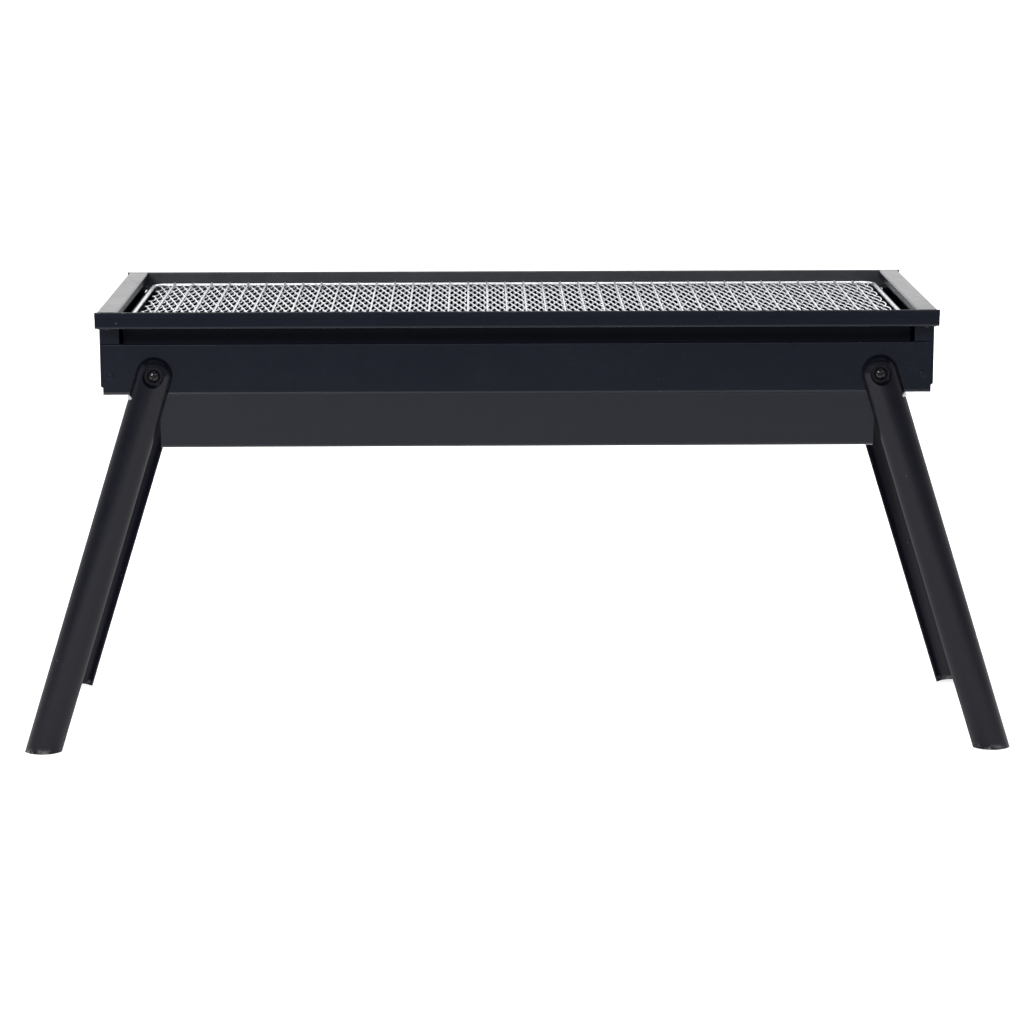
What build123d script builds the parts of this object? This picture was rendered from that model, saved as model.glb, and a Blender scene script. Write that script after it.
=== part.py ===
from build123d import *
import os
from math import atan2, cos, degrees, hypot, radians, sin

# Folding camp grill: a long sheet-steel firebox under a lift-off wire net, on four folding legs.
# Millimetres. X runs along the length, Y from front to rear and Z up. The origin is on the
# ground, below the middle of the box. Left is -X and front is -Y.

# Whole grill
length = 600.0
depth = 225.0
height = 327.0
sheet = 1.0

# Firebox: upright side strips over a shorter trough
wall_y = 94.0
wall_half_length = 297.3
wall_top = 301.5
wall_bottom = 265.0
wall_hem = 6.0
hem_width = 2.4
trough_half_length = 257.0
trough_bottom = 225.0
trough_bottom_y = 90.0
trough_bend = 5.0
crease_bead_height = 0.5
crease_bead_half_width = 1.7
crease_bead_bend = 0.6

# Rails: upright web with an outward hem, over a ledge that carries the net
rail_web = 1.1
rail_hem_height = 4.5
rail_bottom = 315.0
ledge_inner_y = 98.0
bend = 1.6

# End panels: top flange, upright wall and bottom shelf in one bent sheet
end_x = 299.0
flange_width = 15.0
flange_lip = 5.5
flange_half_depth = 110.0
shelf_z = 270.0
tab_width = 13.0
tab_reach = 13.0
weld_gap = 0.1

# Charcoal tray: a slotted floor that lies on the two shelves, between tall walls with a rim
grate_half_length = 283.0
grate_half_width = 86.0
grate_rim_half_width = 97.0
grate_wall = 43.7
slot_length = 30.0
slot_width = 5.0
slot_pitch_x = 42.0
slot_pitch_y = 18.0
slot_columns = 13
slot_rows = 9
wall_slot_z = 292.0

# Cooking net
net_half_length = 280.0
net_half_width = 104.5
net_corner = 9.0
border_radius = 1.5
support_radius = 0.65
support_pitch = 14.2
support_count = 38
support_lift = 1.7
mesh_thickness = 1.2
rest_gap = 0.3

# Legs: half-round channels with a domed top
pivot_x = 260.5
pivot_z = 279.0
leg_splay = radians(17.5)
leg_width = 26.0
leg_bulge = 8.5
leg_wall = 1.2
leg_gap = 0.8
dish_radius = 6.6
dish_taper = 18.0
seat_height = 3.0

# Pivot hardware
shank_radius = 3.0
pivot_clearance = 0.05
head_radius = 4.7
head_height = 2.6
recess_length = 5.0
recess_width = 1.1
recess_depth = 1.2
spacer_radius = 5.4
nut_across_flats = 10.0
nut_height = 5.0
nut_flange_radius = 6.2
nut_flange_height = 1.2
thread_end = 0.8

# Leg stop rods, welded under the side strips
stop_radius = 1.5
stop_across = 12.4
stop_reach = 4.0

# Rivets
rivet_shank = 1.5
rivet_head = 2.6
rivet_head_height = 0.9
rivet_rounding = 0.7
rivet_fit = 0.05
panel_rivet_z = 278.0
rail_rivet_y = 101.0

# Worked-out sizes
half_depth = depth / 2
wall_inner_y = wall_y - sheet
trough_slope = (wall_y - trough_bottom_y) / (wall_bottom - trough_bottom)
tab_y = wall_inner_y - weld_gap
shelf_top = shelf_z + sheet
grate_z = shelf_top + rest_gap
ledge_top = rail_bottom + sheet
border_z = ledge_top + rest_gap + border_radius
support_z = border_z + support_lift
mesh_z = border_z - mesh_thickness / 2
rivet_x = end_x - sheet - tab_width / 2
web_y = half_depth - rail_web
leg_radius = (leg_width**2 / 4 + leg_bulge**2) / (2 * leg_bulge)
leg_crown = leg_gap + leg_bulge
leg_axis_height = leg_crown - leg_radius
leg_reach = 1.2 * pivot_z
seat_top = seat_height + leg_wall
head_height_base = seat_top + rest_gap
stop_z = wall_bottom - stop_radius
stop_along = (pivot_z - stop_z + stop_across * sin(leg_splay)) / cos(leg_splay)
stop_x = pivot_x + stop_along * sin(leg_splay) + stop_across * cos(leg_splay)

sides = ((-1, "left"), (1, "right"))
faces = ((-1, "front"), (1, "rear"))
corners = [(sx, sy, f"{face}_{side}") for sy, face in faces for sx, side in sides]

os.makedirs("parts", exist_ok=True)


def rivet(plane, grip):
    """A round-headed rivet that clamps a stack of thickness grip below the plane."""
    with BuildPart() as body:
        Cylinder(rivet_shank, grip, align=(Align.CENTER, Align.CENTER, Align.MAX))
        Cylinder(rivet_head, rivet_head_height, align=(Align.CENTER, Align.CENTER, Align.MIN))
        with Locations((0, 0, -grip)):
            Cylinder(rivet_head, rivet_head_height, align=(Align.CENTER, Align.CENTER, Align.MAX))
        fillet(body.edges().group_by(Axis.Z)[-1], rivet_rounding)
        fillet(body.edges().group_by(Axis.Z)[0], rivet_rounding)
    return plane.location * body.part


def leg_planes(sx, sy):
    """The plane of a leg's open side, with x down the leg, and the plane across the leg."""
    pivot = (sx * pivot_x, sy * wall_y, pivot_z)
    down = Vector(sx * sin(leg_splay), 0, -cos(leg_splay))
    out = Vector(0, sy, 0)
    side_plane = Plane(origin=pivot, x_dir=down, z_dir=out)
    section_plane = Plane(origin=pivot, x_dir=out.cross(down), z_dir=down)
    return side_plane, section_plane


def leg_form(side_plane, section_plane, radius, flat):
    """A half-round bar down the leg, with a domed top round the pivot and a flat open side."""
    with BuildPart() as form:
        with BuildSketch(section_plane):
            with Locations((0, leg_axis_height)):
                Circle(radius)
            with Locations((0, flat)):
                Rectangle(
                    leg_width * 2,
                    leg_width,
                    align=(Align.CENTER, Align.MIN),
                    mode=Mode.INTERSECT,
                )
        extrude(amount=leg_reach)
        with BuildSketch(section_plane):
            with Locations((0, leg_axis_height)):
                Circle(radius)
            with Locations((0, flat)):
                Rectangle(leg_width, leg_width, align=Align.MIN, mode=Mode.INTERSECT)
        revolve(axis=Axis(side_plane.origin, side_plane.z_dir), revolution_arc=180)
    return form.part


# Firebox trough: side strips, sloped trough walls and bottom, bent from one sheet
with BuildPart() as firebox_trough:
    with BuildSketch(Plane.YZ):
        with BuildLine():
            right = [
                (trough_bottom_y, trough_bottom),
                (
                    wall_y - trough_slope * crease_bead_half_width,
                    wall_bottom - crease_bead_half_width,
                ),
                (wall_y + crease_bead_height, wall_bottom),
                (wall_y, wall_bottom + crease_bead_half_width),
                (wall_y, wall_top),
                (wall_y - hem_width, wall_top),
                (wall_y - hem_width, wall_top - wall_hem),
            ]
            left = [(-y, z) for y, z in reversed(right)]
            hem_bend = hem_width / 2 - 0.05
            FilletPolyline(
                *left,
                *right,
                radius=[
                    *[hem_bend] * 2,
                    *[crease_bead_bend] * 3,
                    *[trough_bend] * 2,
                    *[crease_bead_bend] * 3,
                    *[hem_bend] * 2,
                ],
            )
            offset(amount=sheet, side=Side.LEFT)
        make_face()
    extrude(amount=wall_half_length, both=True)
    end_cut = wall_half_length - trough_half_length
    for sx, side in sides:
        with Locations((sx * (trough_half_length + end_cut / 2), 0, wall_bottom)):
            Box(
                end_cut + 0.001,
                depth,
                wall_bottom,
                align=(Align.CENTER, Align.CENTER, Align.MAX),
                mode=Mode.SUBTRACT,
            )
        with Locations((sx * wall_half_length, 0, wall_top - wall_hem / 2)):
            Box(
                2 * (tab_width + bend),
                2 * wall_inner_y,
                2 * wall_hem,
                mode=Mode.SUBTRACT,
            )
    with GridLocations(2 * pivot_x, 2 * wall_y, 2, 2):
        with Locations((0, 0, pivot_z)):
            Cylinder(
                shank_radius + 2 * pivot_clearance,
                6 * sheet,
                rotation=(90, 0, 0),
                mode=Mode.SUBTRACT,
            )
    with GridLocations(2 * rivet_x, 2 * wall_y, 2, 2):
        with Locations((0, 0, panel_rivet_z)):
            Cylinder(
                rivet_shank + rivet_fit,
                6 * sheet,
                rotation=(90, 0, 0),
                mode=Mode.SUBTRACT,
            )
firebox_trough.part.label = "firebox_trough"
export_step(firebox_trough.part, "parts/firebox_trough.step")

# Trough ends: plates that close the trough, with a lip welded under the shelf
for sx, side in sides:
    with BuildPart() as trough_end:
        inset = sheet + weld_gap
        with BuildSketch(Plane.YZ.offset(sx * (trough_half_length - sheet / 2))):
            with BuildLine():
                low = trough_bottom + inset
                low_y = trough_bottom_y + trough_slope * inset - inset
                Polyline(
                    (-wall_y + inset, shelf_z),
                    (-wall_y + inset, wall_bottom),
                    (-low_y, low),
                    (low_y, low),
                    (wall_y - inset, wall_bottom),
                    (wall_y - inset, shelf_z),
                    close=True,
                )
            make_face()
            fillet(vertices().group_by(Axis.Y)[0], trough_bend)
        extrude(amount=sheet / 2, both=True)
        with Locations((sx * (trough_half_length - sheet), 0, shelf_z)):
            Box(
                12 * sheet,
                2 * (wall_y - 2 * inset),
                sheet,
                align=(Align.MIN if sx > 0 else Align.MAX, Align.CENTER, Align.MAX),
            )
    trough_end.part.label = f"{side}_trough_end"
    export_step(trough_end.part, f"parts/{trough_end.part.label}.step")

# End panels: lip, top flange, wall and shelf, with tabs wrapped inside the side strips
for sx, side in sides:
    with BuildPart() as end_panel:
        with BuildSketch(Plane.XZ):
            with BuildLine():
                FilletPolyline(
                    (end_x - flange_width, height - flange_lip),
                    (end_x - flange_width, height),
                    (end_x, height),
                    (end_x, shelf_z),
                    (trough_half_length, shelf_z),
                    radius=bend,
                )
                offset(amount=sheet, side=Side.RIGHT)
            make_face()
        extrude(amount=flange_half_depth, both=True)
        for sy, face in faces:
            with Locations((0, sy * tab_y, ledge_top + weld_gap)):
                Box(
                    2 * length,
                    depth,
                    height,
                    align=(Align.CENTER, Align.MIN if sy > 0 else Align.MAX, Align.MAX),
                    mode=Mode.SUBTRACT,
                )
            with BuildSketch(Plane.YZ.offset(end_x - sheet - tab_width)):
                with BuildLine():
                    FilletPolyline(
                        (sy * tab_y, shelf_z + bend),
                        (sy * tab_y, rail_bottom - sheet),
                        (sy * (tab_y + tab_reach), rail_bottom - sheet),
                        radius=0.4 * bend,
                    )
                    offset(amount=sheet, side=Side.LEFT if sy > 0 else Side.RIGHT)
                make_face()
            extrude(amount=tab_width + sheet / 2)
        with GridLocations(2 * rivet_x, 2 * wall_y, 2, 2):
            with Locations((0, 0, panel_rivet_z)):
                Cylinder(
                    rivet_shank + rivet_fit,
                    6 * sheet,
                    rotation=(90, 0, 0),
                    mode=Mode.SUBTRACT,
                )
        with GridLocations(2 * rivet_x, 2 * rail_rivet_y, 2, 2):
            with Locations((0, 0, rail_bottom)):
                Cylinder(rivet_shank + rivet_fit, 6 * sheet, mode=Mode.SUBTRACT)
        if sx < 0:
            mirror(about=Plane.YZ, mode=Mode.REPLACE)
    end_panel.part.label = f"{side}_end_panel"
    export_step(end_panel.part, f"parts/{end_panel.part.label}.step")

# Rails: web, outward hem and net ledge in one bent sheet
for sy, face in faces:
    with BuildPart() as rail:
        with BuildSketch(Plane.YZ):
            with BuildLine():
                hem = [
                    (half_depth, height - rail_hem_height),
                    (half_depth, height),
                    (web_y - sheet, height),
                    (web_y - sheet, rail_bottom + sheet),
                    (ledge_inner_y, rail_bottom + sheet),
                ]
                hem_turn = (half_depth - web_y + sheet) / 2 - 0.05
                FilletPolyline(*hem, radius=[hem_turn, hem_turn, 0.4 * bend])
                offset(amount=sheet, side=Side.LEFT)
            make_face()
        extrude(amount=length / 2, both=True)
        with GridLocations(2 * rivet_x, 0, 2, 1):
            with Locations((0, rail_rivet_y, rail_bottom)):
                Cylinder(rivet_shank + rivet_fit, 6 * sheet, mode=Mode.SUBTRACT)
        if sy < 0:
            mirror(about=Plane.XZ, mode=Mode.REPLACE)
    rail.part.label = f"{face}_rail"
    export_step(rail.part, f"parts/{rail.part.label}.step")

# Charcoal tray: slotted floor, tall side walls and outward rims bent from one sheet, with end walls
with BuildPart() as charcoal_grate:
    with BuildSketch(Plane.YZ):
        with BuildLine():
            FilletPolyline(
                (-grate_rim_half_width, grate_z + grate_wall),
                (-grate_half_width, grate_z + grate_wall),
                (-grate_half_width, grate_z),
                (grate_half_width, grate_z),
                (grate_half_width, grate_z + grate_wall),
                (grate_rim_half_width, grate_z + grate_wall),
                radius=bend,
            )
            offset(amount=sheet, side=Side.LEFT)
        make_face()
    extrude(amount=grate_half_length, both=True)
    with GridLocations(2 * grate_half_length - sheet, 0, 2, 1):
        with Locations((0, 0, grate_z)):
            Box(
                sheet,
                2 * (grate_half_width - bend),
                grate_wall + sheet,
                align=(Align.CENTER, Align.CENTER, Align.MIN),
            )
    with BuildSketch(Plane.XY.offset(grate_z)):
        with GridLocations(slot_pitch_x, slot_pitch_y, slot_columns, slot_rows):
            SlotOverall(slot_length, slot_width)
    extrude(amount=sheet, mode=Mode.SUBTRACT)
    with BuildSketch(Plane.XZ):
        with Locations((0, wall_slot_z)):
            with GridLocations(slot_pitch_x, 0, slot_columns, 1):
                SlotOverall(slot_length, slot_width)
    extrude(amount=depth, both=True, mode=Mode.SUBTRACT)
charcoal_grate.part.label = "charcoal_grate"
export_step(charcoal_grate.part, "parts/charcoal_grate.step")

# Cooking net: border wire, support wires and the mesh, here a plain thin sheet
border_x = net_half_length - border_radius
border_y = net_half_width - border_radius
with BuildPart() as net_border_wire:
    with BuildLine(Plane.XY.offset(border_z)) as border_path:
        FilletPolyline(
            (border_x, -border_y),
            (border_x, border_y),
            (-border_x, border_y),
            (-border_x, -border_y),
            close=True,
            radius=net_corner,
        )
    with BuildSketch(border_path.line ^ 0):
        Circle(border_radius)
    sweep(path=border_path.line)
net_border_wire.part.label = "net_border_wire"
export_step(net_border_wire.part, "parts/net_border_wire.step")

with BuildPart() as net_support_wires:
    with BuildSketch(Plane.XZ):
        with Locations((0, support_z)):
            with GridLocations(support_pitch, 0, support_count, 1):
                Circle(support_radius)
    extrude(amount=border_y, both=True)
net_support_wires.part.label = "net_support_wires"
export_step(net_support_wires.part, "parts/net_support_wires.step")

with BuildPart() as net_mesh:
    with BuildSketch(Plane.XY.offset(mesh_z)):
        RectangleRounded(
            2 * (border_x - border_radius),
            2 * (border_y - border_radius),
            net_corner - border_radius,
        )
    extrude(amount=mesh_thickness)
net_mesh.part.label = "net_mesh"
export_step(net_mesh.part, "parts/net_mesh.step")

# Legs: half-round channel, dished round the pivot hole and notched for the stop rod
for sx, sy, corner in corners:
    side_plane, section_plane = leg_planes(sx, sy)
    outer_form = leg_form(side_plane, section_plane, leg_radius, leg_gap)
    inner_form = leg_form(side_plane, section_plane, leg_radius - leg_wall, leg_gap - leg_wall)
    outboard = -sx * sy
    with BuildPart() as dish:
        with BuildSketch(side_plane.offset(seat_height)):
            Circle(dish_radius + leg_wall)
        extrude(amount=leg_bulge, taper=-dish_taper)
        add(outer_form, mode=Mode.INTERSECT)
    with BuildPart() as leg:
        add(outer_form)
        add(inner_form, mode=Mode.SUBTRACT)
        add(dish.part)
        with BuildSketch(side_plane.offset(seat_top)):
            Circle(dish_radius)
        extrude(amount=leg_bulge, taper=-dish_taper, mode=Mode.SUBTRACT)
        with BuildSketch(side_plane):
            Circle(shank_radius + pivot_clearance)
        extrude(amount=leg_bulge, mode=Mode.SUBTRACT)
        with BuildSketch(side_plane):
            stop_angle = degrees(atan2(outboard * stop_across, stop_along))
            with BuildLine(mode=Mode.PRIVATE) as way_out:
                CenterArc(
                    (0, 0),
                    hypot(stop_along, stop_across),
                    stop_angle,
                    outboard * 14,
                )
            SlotArc(way_out.edge(), 2 * (stop_radius + rest_gap))
        extrude(amount=leg_bulge, mode=Mode.SUBTRACT)
        split(bisect_by=Plane.XY, keep=Keep.TOP)
    leg.part.label = f"{corner}_leg"
    export_step(leg.part, f"parts/{leg.part.label}.step")

# Pivot bolts, spacers and nuts
for sx, sy, corner in corners:
    side_plane, section_plane = leg_planes(sx, sy)
    nut_plane = side_plane.offset(-sheet)
    with BuildPart() as bolt:
        with BuildSketch(nut_plane.offset(-nut_height - thread_end)):
            Circle(shank_radius)
        extrude(amount=head_height_base + sheet + nut_height + thread_end)
        with BuildSketch(section_plane):
            with BuildLine():
                base = (head_radius, head_height_base)
                top = (0, head_height_base + head_height)
                dome_radius = (head_radius**2 + head_height**2) / (2 * head_height)
                Polyline(top, (0, head_height_base), base)
                RadiusArc(base, top, -dome_radius)
            make_face()
        revolve(axis=Axis(side_plane.origin, side_plane.z_dir))
        with BuildSketch(side_plane.offset(head_height_base + head_height)):
            Rectangle(recess_length, recess_width)
            Rectangle(recess_width, recess_length)
        extrude(amount=-recess_depth, mode=Mode.SUBTRACT)
    bolt.part.label = f"{corner}_pivot_bolt"
    export_step(bolt.part, f"parts/{bolt.part.label}.step")

    with BuildPart() as spacer:
        with BuildSketch(side_plane):
            Circle(spacer_radius)
            Circle(shank_radius + 2 * pivot_clearance, mode=Mode.SUBTRACT)
        extrude(amount=seat_height - rest_gap)
    spacer.part.label = f"{corner}_pivot_spacer"
    export_step(spacer.part, f"parts/{spacer.part.label}.step")

    with BuildPart() as nut:
        with BuildSketch(nut_plane):
            RegularPolygon(nut_across_flats / 2, 6, major_radius=False)
        extrude(amount=-nut_height)
        with BuildSketch(nut_plane):
            Circle(nut_flange_radius)
        extrude(amount=-nut_flange_height)
        with BuildSketch(nut_plane):
            Circle(shank_radius + pivot_clearance / 2)
        extrude(amount=-nut_height, mode=Mode.SUBTRACT)
    nut.part.label = f"{corner}_pivot_nut"
    export_step(nut.part, f"parts/{nut.part.label}.step")

# Stop rods: one under each end of the firebox, bright ends showing beside the legs
for sx, side in sides:
    with BuildPart() as stop_rod:
        with BuildSketch(Plane.XZ):
            with Locations((sx * stop_x, stop_z)):
                Circle(stop_radius)
        extrude(amount=wall_y + stop_reach, both=True)
        chamfer(stop_rod.edges(), 0.3)
    stop_rod.part.label = f"{side}_stop_rod"
    export_step(stop_rod.part, f"parts/{stop_rod.part.label}.step")

# Rivets: side strips to end panels, and rails to end panels
with BuildPart() as panel_rivets:
    for sx, sy, corner in corners:
        add(
            rivet(
                Plane(origin=(sx * rivet_x, sy * wall_y, panel_rivet_z), z_dir=(0, sy, 0)),
                2 * sheet + weld_gap,
            )
        )
panel_rivets.part.label = "panel_rivets"
export_step(panel_rivets.part, "parts/panel_rivets.step")

with BuildPart() as rail_rivets:
    for sx, sy, corner in corners:
        add(rivet(Plane((sx * rivet_x, sy * rail_rivet_y, ledge_top)), 2 * sheet))
rail_rivets.part.label = "rail_rivets"
export_step(rail_rivets.part, "parts/rail_rivets.step")
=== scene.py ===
from math import cos, pi, radians, sin

import bpy
import numpy as np
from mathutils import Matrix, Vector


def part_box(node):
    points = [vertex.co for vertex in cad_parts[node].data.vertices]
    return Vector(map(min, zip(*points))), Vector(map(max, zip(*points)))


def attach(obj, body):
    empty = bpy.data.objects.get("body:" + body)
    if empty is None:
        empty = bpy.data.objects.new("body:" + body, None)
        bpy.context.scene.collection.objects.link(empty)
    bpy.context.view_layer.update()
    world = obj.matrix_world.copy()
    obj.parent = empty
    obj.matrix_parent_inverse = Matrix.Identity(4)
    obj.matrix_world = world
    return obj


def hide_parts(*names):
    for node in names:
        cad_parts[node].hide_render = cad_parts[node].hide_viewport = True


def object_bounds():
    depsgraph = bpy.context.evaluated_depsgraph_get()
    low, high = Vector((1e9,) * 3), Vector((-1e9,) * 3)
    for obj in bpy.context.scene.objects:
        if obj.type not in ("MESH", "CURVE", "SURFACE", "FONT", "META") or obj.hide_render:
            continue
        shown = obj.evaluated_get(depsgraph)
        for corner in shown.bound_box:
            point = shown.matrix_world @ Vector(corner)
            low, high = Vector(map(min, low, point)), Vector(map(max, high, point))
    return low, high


# Folding camp grill: the looks. Metres. X runs along the grill, Y from front to rear, Z up.
# The sheet-metal parts keep their own shapes and get paint. The cooking net's plain sheet gives
# way to real woven wire.

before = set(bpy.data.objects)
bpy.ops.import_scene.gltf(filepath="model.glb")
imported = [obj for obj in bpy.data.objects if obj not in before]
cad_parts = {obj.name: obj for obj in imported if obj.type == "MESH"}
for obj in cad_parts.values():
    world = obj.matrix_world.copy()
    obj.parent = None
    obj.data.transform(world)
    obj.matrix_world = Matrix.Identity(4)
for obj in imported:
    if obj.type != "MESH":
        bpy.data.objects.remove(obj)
cad_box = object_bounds()
mm = 0.001


# ---------------------------------------------------------------- finishes


class Signal:
    """One shader socket. Python sums on it add the Math nodes that work them out."""

    def __init__(self, nodes, socket):
        self.nodes = nodes
        self.socket = socket

    def maths(self, operation, *values):
        """Adds the Math node of this operation on the values."""
        return self.nodes.node("ShaderNodeMath", {"operation": operation}, dict(enumerate(values)))

    def __add__(self, other):
        return self.maths("ADD", self, other)

    def __sub__(self, other):
        return self.maths("SUBTRACT", self, other)

    def __rsub__(self, other):
        return self.maths("SUBTRACT", other, self)

    def __mul__(self, other):
        return self.maths("MULTIPLY", self, other)

    __radd__ = __add__
    __rmul__ = __mul__


class Nodes:
    """A node tree and its shader, with the node methods that the finishes below share."""

    def __init__(self, owner, shader):
        owner.use_nodes = True
        self.tree = owner.node_tree
        self.shader = self.tree.nodes[shader]
        self.place = self.node("ShaderNodeTexCoord", output="Object")

    def node(self, kind, settings=None, sockets=None, output=0):
        """Adds a node with its settings, then its sockets' values or links. Returns one output."""
        made = self.tree.nodes.new(kind)
        for name, value in (settings or {}).items():
            setattr(made, name, value)
        for key, value in (sockets or {}).items():
            self.join(made.inputs[key], value)
        return Signal(self, made.outputs[output])

    def join(self, socket, value):
        """Links a signal to the socket, or sets the socket to a plain value."""
        if isinstance(value, Signal):
            self.tree.links.new(value.socket, socket)
        elif isinstance(value, tuple) and socket.type == "RGBA":
            socket.default_value = (*value, 1)
        else:
            socket.default_value = value

    def feed(self, **signals):
        """Links signals, or sets plain values, on the shader's own sockets."""
        for name, signal in signals.items():
            self.join(self.shader.inputs[name.replace("_", " ")], signal)

    def grain(self, size, detail=3, stretch=(1, 1, 1)):
        """Cloudy noise from 0 to 1 with features of about this size, drawn out along an axis."""
        fitted = self.node("ShaderNodeMapping", {}, {"Vector": self.place, "Scale": stretch})
        return self.node(
            "ShaderNodeTexNoise",
            {},
            {"Vector": fitted, "Scale": 1 / size, "Detail": detail, "Roughness": 0.55},
        )

    def cells(self, size, output="Distance"):
        """Scattered points about this far apart: the distance to the nearest, or its own colour."""
        points = {"Vector": self.place, "Scale": 1 / size}
        return self.node("ShaderNodeTexVoronoi", {}, points, output)

    def along(self, axis):
        """One of the object's own coordinates, in metres."""
        return self.node("ShaderNodeSeparateXYZ", {}, {"Vector": self.place}, axis)

    def step(self, signal, low, high):
        """Rises smoothly from 0 where the signal is low to 1 where it is high."""
        return self.node(
            "ShaderNodeMapRange",
            {"interpolation_type": "SMOOTHSTEP"},
            {"Value": signal, "From Min": low, "From Max": high},
        )

    def mix(self, share, first, second):
        """The first colour, turning to the second as the share goes from 0 to 1."""
        colours = {"Factor": share, 6: first, 7: second}
        return self.node("ShaderNodeMix", {"data_type": "RGBA"}, colours, 2)

    def bump(self, height, depth, under=None):
        """A normal for relief this deep, in metres, over another normal if one is given."""
        sockets = {"Height": height, "Distance": depth, "Strength": 1.0}
        if under:
            sockets["Normal"] = under
        return self.node("ShaderNodeBump", {}, sockets)


class Finish(Nodes):
    """One material. Constants go straight onto the shader's own sockets."""

    def __init__(self, name, **constants):
        self.material = bpy.data.materials.new(name)
        super().__init__(self.material, "Principled BSDF")
        self.feed(**constants)


def specks(finish, spacing, size):
    """Small sparse dots: a mask that is 1 on a dot, with two dots in three left out."""
    near = 1 - finish.step(finish.cells(spacing), size / spacing * 0.6, size / spacing)
    kept = finish.step(finish.grain(spacing * 2.5, 1), 0.56, 0.6)
    return near * kept


def black_paint(name, ink, lighter, gloss, wear_and_light=None):
    """Stoved black paint on steel: mottled ink colour, orange peel, slight waves of the sheet and
    dust nibs, turned to grey where the given mask says so: worn paint, and painted light on the
    rails' inner faces."""
    paint = Finish(name, Specular_IOR_Level=0.18, IOR=1.5)
    cloud = paint.grain(90 * mm, 2)
    mottle = paint.grain(7 * mm, 4)
    dust = specks(paint, 9 * mm, 0.5 * mm)
    colour = paint.mix(cloud * 0.6 + mottle * 0.4, ink, lighter)
    colour = paint.mix(dust * 0.5, colour, DUST_GREY)
    rough = gloss + (mottle - 0.5) * 0.1 + (cloud - 0.5) * 0.12 + dust * 0.2
    # The mask turns the colour towards grey: worn paint, and on the rails' inner faces painted light.
    if wear_and_light:
        greying = wear_and_light(paint)
        colour = paint.mix(greying, colour, WORN_AND_LIT_GREY)
        rough = rough + greying * 0.1
    peel = paint.grain(1.6 * mm, 2)
    waves = paint.grain(130 * mm, 1)
    relief = paint.bump(waves, 0.5 * mm)
    relief = paint.bump(peel, 0.012 * mm, relief)
    relief = paint.bump(dust, 0.05 * mm, relief)
    paint.feed(Base_Color=colour, Roughness=rough, Normal=relief)
    return paint.material


def rubbed_above(level, width, strength):
    """Wear in scattered patches from this height upwards."""

    def mask(paint):
        high = paint.step(paint.along("Z"), level - width, level)
        patches = paint.step(paint.grain(11 * mm, 5), 0.52, 0.72)
        return high * patches * strength

    return mask


def rail_wear_and_inner_light(level, inner):
    """Rubbed top edge at this level, and painted light on an inner face, up to inner: that face
    painted a lighter grey for the light it catches.
    """
    greying = rubbed_above(level, 1.2 * mm, 0.35)

    def mask(paint):
        across = paint.along("Y")
        # Painted light: the inner faces turn a lighter grey, standing in for the light they catch.
        inner_light = 1 - paint.step(across * across, inner**2, (inner + 0.4 * mm) ** 2)
        return greying(paint) + inner_light * (0.13 + paint.grain(20 * mm, 4) * 0.12)

    return mask


def rubbed_below(level, width, strength):
    """Wear in scattered patches from this height downwards."""

    def mask(paint):
        low = 1 - paint.step(paint.along("Z"), level, level + width)
        patches = paint.step(paint.grain(6 * mm, 5), 0.45, 0.65)
        return low * patches * strength

    return mask


def sooty_paint(name, bottom):
    """Matt heat-proof paint under a film of soot, with fine ash on the floor above this bottom."""
    paint = Finish(name, Specular_IOR_Level=0.08)
    soot = paint.grain(30 * mm, 5)
    low = 1 - paint.step(paint.along("Z"), bottom + 2 * mm, bottom + 6 * mm)
    ash = paint.step(paint.grain(2.5 * mm, 4), 0.58, 0.75) * low
    colour = paint.mix(soot, (0.0022, 0.003, 0.006), (0.0042, 0.0052, 0.009))
    colour = paint.mix(ash * 0.4, colour, (0.03, 0.029, 0.028))
    relief = paint.bump(paint.grain(1.2 * mm, 4), 0.03 * mm)
    paint.feed(Base_Color=colour, Roughness=0.55 + soot * 0.3, Normal=relief)
    return paint.material


def zinc_coat(name, dull, bright, gloss, grain_size):
    """Zinc on steel: fine crystals that each catch the light a little differently, and scratches."""
    zinc = Finish(name, Metallic=1.0)
    crystal = zinc.node("ShaderNodeSeparateColor", {}, {"Color": zinc.cells(grain_size, "Color")})
    cloud = zinc.grain(14 * mm, 3)
    scratches = zinc.step(zinc.grain(0.7 * mm, 2, stretch=(1, 0.12, 1)), 0.6, 0.75)
    colour = zinc.mix(crystal * 0.6 + cloud * 0.4, dull, bright)
    rough = gloss + (crystal - 0.5) * 0.14 + (cloud - 0.5) * 0.1 + scratches * 0.08
    relief = zinc.bump(zinc.grain(0.5 * mm, 3), 0.006 * mm)
    zinc.feed(Base_Color=colour, Roughness=rough, Normal=relief)
    return zinc.material


def black_fastener(name):
    """Black plated steel: glossy, and a little brown and duller where the plating is thin."""
    plate = Finish(name, Specular_IOR_Level=0.28)
    thin = plate.step(plate.grain(1.2 * mm, 4), 0.5, 0.75)
    colour = plate.mix(thin, (0.003, 0.003, 0.0045), (0.012, 0.01, 0.009))
    relief = plate.bump(plate.grain(0.4 * mm, 3), 0.004 * mm)
    plate.feed(Base_Color=colour, Roughness=0.12 + thin * 0.12, Normal=relief)
    return plate.material


def pale_floor(name):
    """A pale studio floor, white under and behind the grill and a little greyer well in front."""
    floor = Finish(name, Roughness=0.9, Specular_IOR_Level=0.1, Emission_Strength=0.4)
    near = floor.step(floor.along("Y") + floor.grain(0.8, 2) * 0.1, FLOOR_GREY_Y, FLOOR_WHITE_Y)
    white = floor.mix(near, (0.3, 0.3, 0.3), (0.87, 0.87, 0.87))
    floor.feed(Base_Color=white, Emission_Color=white)
    return floor.material


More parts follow.
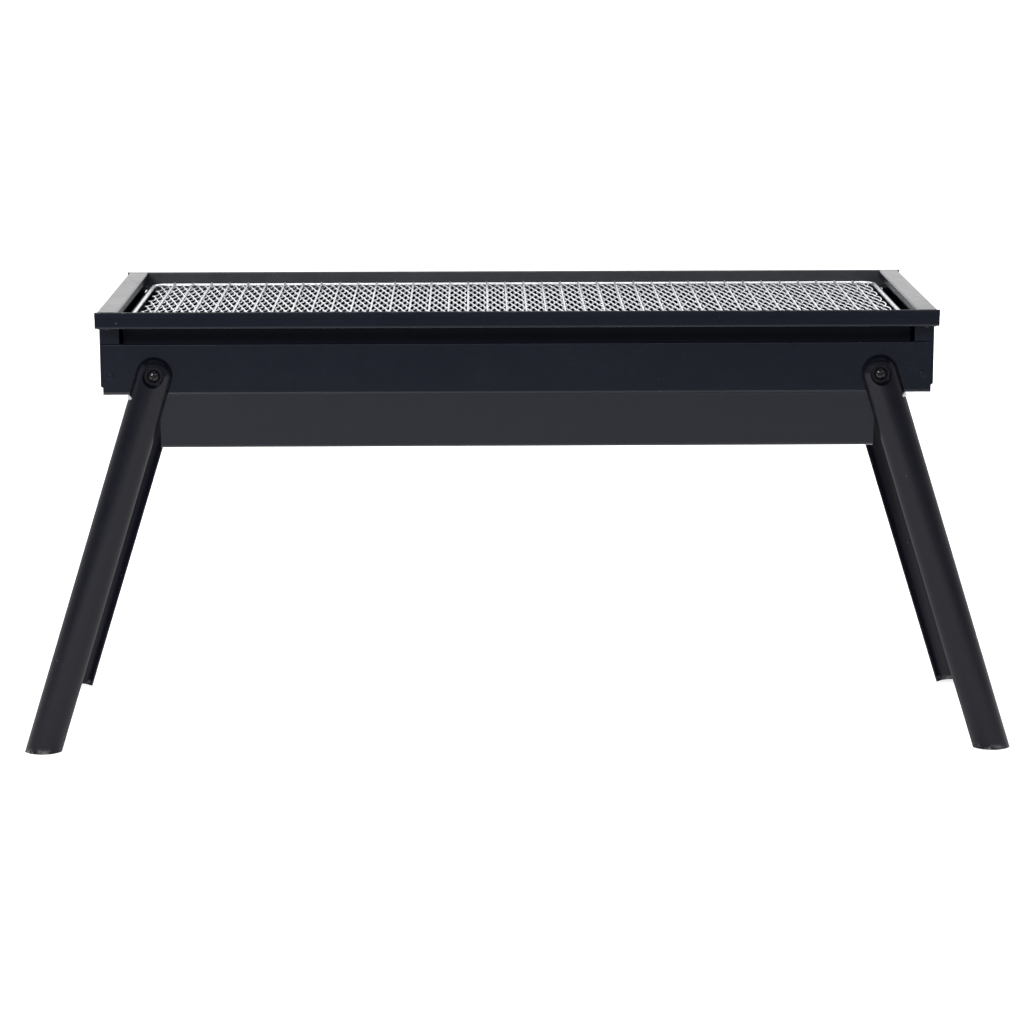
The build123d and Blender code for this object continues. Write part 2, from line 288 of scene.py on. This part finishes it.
# Colours of the paint, and where the floor's white begins and is full
INK = (0.0014, 0.0024, 0.006)
INK_LIGHTER = (0.0028, 0.0042, 0.009)
LEG_INK = (0.0018, 0.0019, 0.0046)
LEG_INK_LIGHTER = (0.0034, 0.0036, 0.007)
DUST_GREY = (0.09, 0.09, 0.095)
# Grey of worn paint, also used as the painted light on the rails' inner faces.
WORN_AND_LIT_GREY = (0.16, 0.16, 0.165)
FLOOR_GREY_Y = -1.2
FLOOR_WHITE_Y = -0.75

rim_top = cad_box[1].z
rail_inner = cad_box[1].y - 1.9 * mm

paints = {
    "front_rail rear_rail": black_paint(
        "rail_paint", INK, INK_LIGHTER, 0.22, rail_wear_and_inner_light(rim_top, rail_inner)
    ),
    "left_end_panel right_end_panel": black_paint(
        "end_panel_paint", INK, INK_LIGHTER, 0.22, rubbed_above(rim_top, 0.6 * mm, 0.2)
    ),
    "firebox_trough": black_paint("firebox_paint", INK, INK_LIGHTER, 0.24),
    "left_trough_end right_trough_end": black_paint("trough_end_paint", INK, INK_LIGHTER, 0.42),
    "charcoal_grate": sooty_paint("charcoal_grate_paint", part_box("charcoal_grate")[0].z),
    "net_border_wire net_support_wires": zinc_coat(
        "net_wire_zinc", (0.38, 0.39, 0.41), (0.67, 0.68, 0.7), 0.32, 1.2 * mm
    ),
    "pivot_spacer pivot_nut stop_rod": zinc_coat(
        "bright_zinc", (0.5, 0.51, 0.52), (0.8, 0.8, 0.79), 0.24, 0.8 * mm
    ),
    "pivot_bolt rail_rivets": black_fastener("black_plating"),
    "panel_rivets": black_paint("rivet_paint", INK, INK_LIGHTER, 0.24),
    "leg": black_paint("leg_paint", LEG_INK, LEG_INK_LIGHTER, 0.24, rubbed_below(0, 5 * mm, 0.6)),
}
for names, material in paints.items():
    for name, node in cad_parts.items():
        if any(name.endswith(ending) for ending in names.split()):
            node.data.materials.clear()
            node.data.materials.append(material)


# ---------------------------------------------------------------- new pieces


def piece(name, points, quads, material, body):
    """A smooth mesh of four-sided faces that rides on a body."""
    mesh = bpy.data.meshes.new(name)
    mesh.vertices.add(len(points))
    mesh.vertices.foreach_set("co", points.astype(np.float32).ravel())
    mesh.loops.add(quads.size)
    mesh.loops.foreach_set("vertex_index", quads.astype(np.int32).ravel())
    mesh.polygons.add(len(quads))
    mesh.polygons.foreach_set("loop_start", np.arange(0, quads.size, 4, dtype=np.int32))
    mesh.polygons.foreach_set("use_smooth", np.ones(len(quads), bool))
    mesh.update(calc_edges=True)
    mesh.validate()
    mesh.materials.append(material)
    made = bpy.data.objects.new(name, mesh)
    bpy.context.scene.collection.objects.link(made)
    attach(made, body)
    return made


def round_wires(paths, radius, sides):
    """Carries a circle along many paths at once. At each point of a path the circle stands square to
    the direction of travel: point = path + radius * (cos a * across + sin a * up), where across is
    the X axis made square to the direction, and up is square to both. A fan of quads shuts each end,
    so the number of sides is even."""
    wires, rings = paths.shape[:2]
    travel = np.gradient(paths, axis=1)
    travel /= np.linalg.norm(travel, axis=2, keepdims=True)
    across = np.array([1.0, 0, 0]) - travel * travel[..., :1]
    across /= np.linalg.norm(across, axis=2, keepdims=True)
    up = np.cross(across, travel)
    turn = np.arange(sides) * 2 * pi / sides
    circle = np.cos(turn)[:, None] * across[:, :, None] + np.sin(turn)[:, None] * up[:, :, None]
    points = paths[:, :, None] + radius * circle
    index = np.arange(wires * rings * sides).reshape(wires, rings, sides)
    following = np.roll(index, -1, axis=2)
    walls = np.stack([index[:, :-1], index[:, 1:], following[:, 1:], following[:, :-1]], axis=-1)
    step = 2 * np.arange(sides // 2 - 1)
    fan = np.stack([0 * step, step + 1, step + 2, step + 3], axis=1)
    starts = index[:, 0][:, fan]
    ends = index[:, -1][:, fan[:, ::-1]]
    quads = np.concatenate([part.reshape(-1, 4) for part in (walls, starts, ends)])
    return points.reshape(-1, 3), quads


# Woven net: waved wires run from front to rear, under the straight support wires. Each hooks round
# both its neighbours, and its ends are welded to the border wire.
WIRE_PITCH = 2.88 * mm
WIRE_RADIUS = 0.5 * mm
SWING = 1.9 * mm
LIFT = 0.7 * mm
WAVES = 7.5
STEPS_PER_WAVE = 12
WIRE_SIDES = 6
END_RUN = 5 * mm

border_low, border_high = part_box("net_border_wire")
support_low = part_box("net_support_wires")[0]
border_radius = (border_high.z - border_low.z) / 2
border_z = (border_high.z + border_low.z) / 2
border_y = border_high.y - border_radius
net_z = support_low.z - LIFT - WIRE_RADIUS
net_half_x = border_high.x - 2 * border_radius
wire_count = 2 * int((net_half_x - SWING - WIRE_RADIUS) / WIRE_PITCH)


def waved_wires(first, last):
    """Paths of the wires numbered from first to last. With s = 1 on even wires and -1 on odd ones,
    and a the angle 2 pi * waves * way across: x = middle + s * swing * cos a, and z = height
    + s * lift * sin a, so each wire passes over and then under its neighbour at every meeting.
    Near an end the waves in height die away and the wire meets the middle of the border wire."""
    steps = round(WAVES * STEPS_PER_WAVE)
    run = np.linspace(-1, 1, steps + 1)
    angle = run * pi * WAVES
    number = np.arange(first, last)[:, None]
    hand = 1 - 2 * (number % 2)
    middle = (number - (wire_count - 1) / 2) * WIRE_PITCH
    reach = np.clip((1 - abs(run)) * border_y / END_RUN, 0, 1)
    free = reach * reach * (3 - 2 * reach)
    x = middle + hand * SWING * np.cos(angle)
    y = np.broadcast_to(run * border_y, x.shape)
    z = free * (net_z + hand * LIFT * np.sin(angle)) + (1 - free) * border_z
    return np.stack([x, y, z], axis=-1)


net_zinc = bpy.data.materials["net_wire_zinc"]
halves = {"net_weave_left": (0, wire_count // 2), "net_weave_right": (wire_count // 2, wire_count)}
for name, (first, last) in halves.items():
    points, quads = round_wires(waved_wires(first, last), WIRE_RADIUS, WIRE_SIDES)
    weave = piece(name, points, quads, net_zinc, "cooking_net")
    if name == "net_weave_left":
        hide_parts("net_mesh")


# ---------------------------------------------------------------- studio

camera = bpy.data.objects.new("camera", bpy.data.cameras.new("camera"))
bpy.context.scene.collection.objects.link(camera)
camera.location = (-0.0283, -2.3452, 0.6417)
camera.rotation_euler = (radians(90 - 11.64), radians(0.12), radians(-0.64))
camera.data.lens = 111.6
camera.data.sensor_width = 36
bpy.context.scene.camera = camera


AIM_HEIGHT = 0.2


def softbox(name, azimuth, elevation, distance, width, height, power):
    """A rectangular soft light that faces the grill. Azimuth 0 is in front, 90 on the right."""
    lamp = bpy.data.lights.new(name, "AREA")
    lamp.shape = "RECTANGLE"
    lamp.size = width
    lamp.size_y = height
    lamp.energy = power
    box = bpy.data.objects.new(name, lamp)
    bpy.context.scene.collection.objects.link(box)
    turn, rise = radians(azimuth), radians(elevation)
    level = distance * cos(rise)
    box.location = (level * sin(turn), -level * cos(turn), AIM_HEIGHT + distance * sin(rise))
    box.rotation_euler = (pi / 2 - rise, 0, turn)


softbox("top_softbox", 0, 88, 1.8, 2.0, 1.4, 20)
softbox("front_softbox", 0, 28, 2.2, 1.6, 0.3, 9)
softbox("left_softbox", -30, 24, 2.2, 0.35, 0.35, 32)
softbox("right_softbox", 40, 24, 2.2, 0.3, 0.3, 3)
softbox("rear_left_softbox", -142, 28, 2.2, 0.5, 1.2, 7)
softbox("rear_right_softbox", 142, 28, 2.2, 0.5, 1.2, 22)

FLOOR_HALF = 30.0
floor_mesh = bpy.data.meshes.new("floor")
floor_corners = [
    (-FLOOR_HALF, -FLOOR_HALF, 0),
    (FLOOR_HALF, -FLOOR_HALF, 0),
    (FLOOR_HALF, FLOOR_HALF, 0),
    (-FLOOR_HALF, FLOOR_HALF, 0),
]
floor_mesh.from_pydata(floor_corners, [], [(0, 1, 2, 3)])
floor_mesh.materials.append(pale_floor("floor_white"))
floor = bpy.data.objects.new("floor", floor_mesh)
bpy.context.scene.collection.objects.link(floor)

# The room: bright behind the grill, dimmer in front of it.
world = bpy.data.worlds.new("studio")
room = Nodes(world, "Background")
behind = room.step(room.along("Y"), -0.5, 0.7)
dim = (0.42, 0.42, 0.43)
bright = (1.4, 1.4, 1.4)
room.feed(Color=room.mix(behind, dim, bright))
bpy.context.scene.world = world
bpy.context.scene.view_settings.view_transform = "Standard"
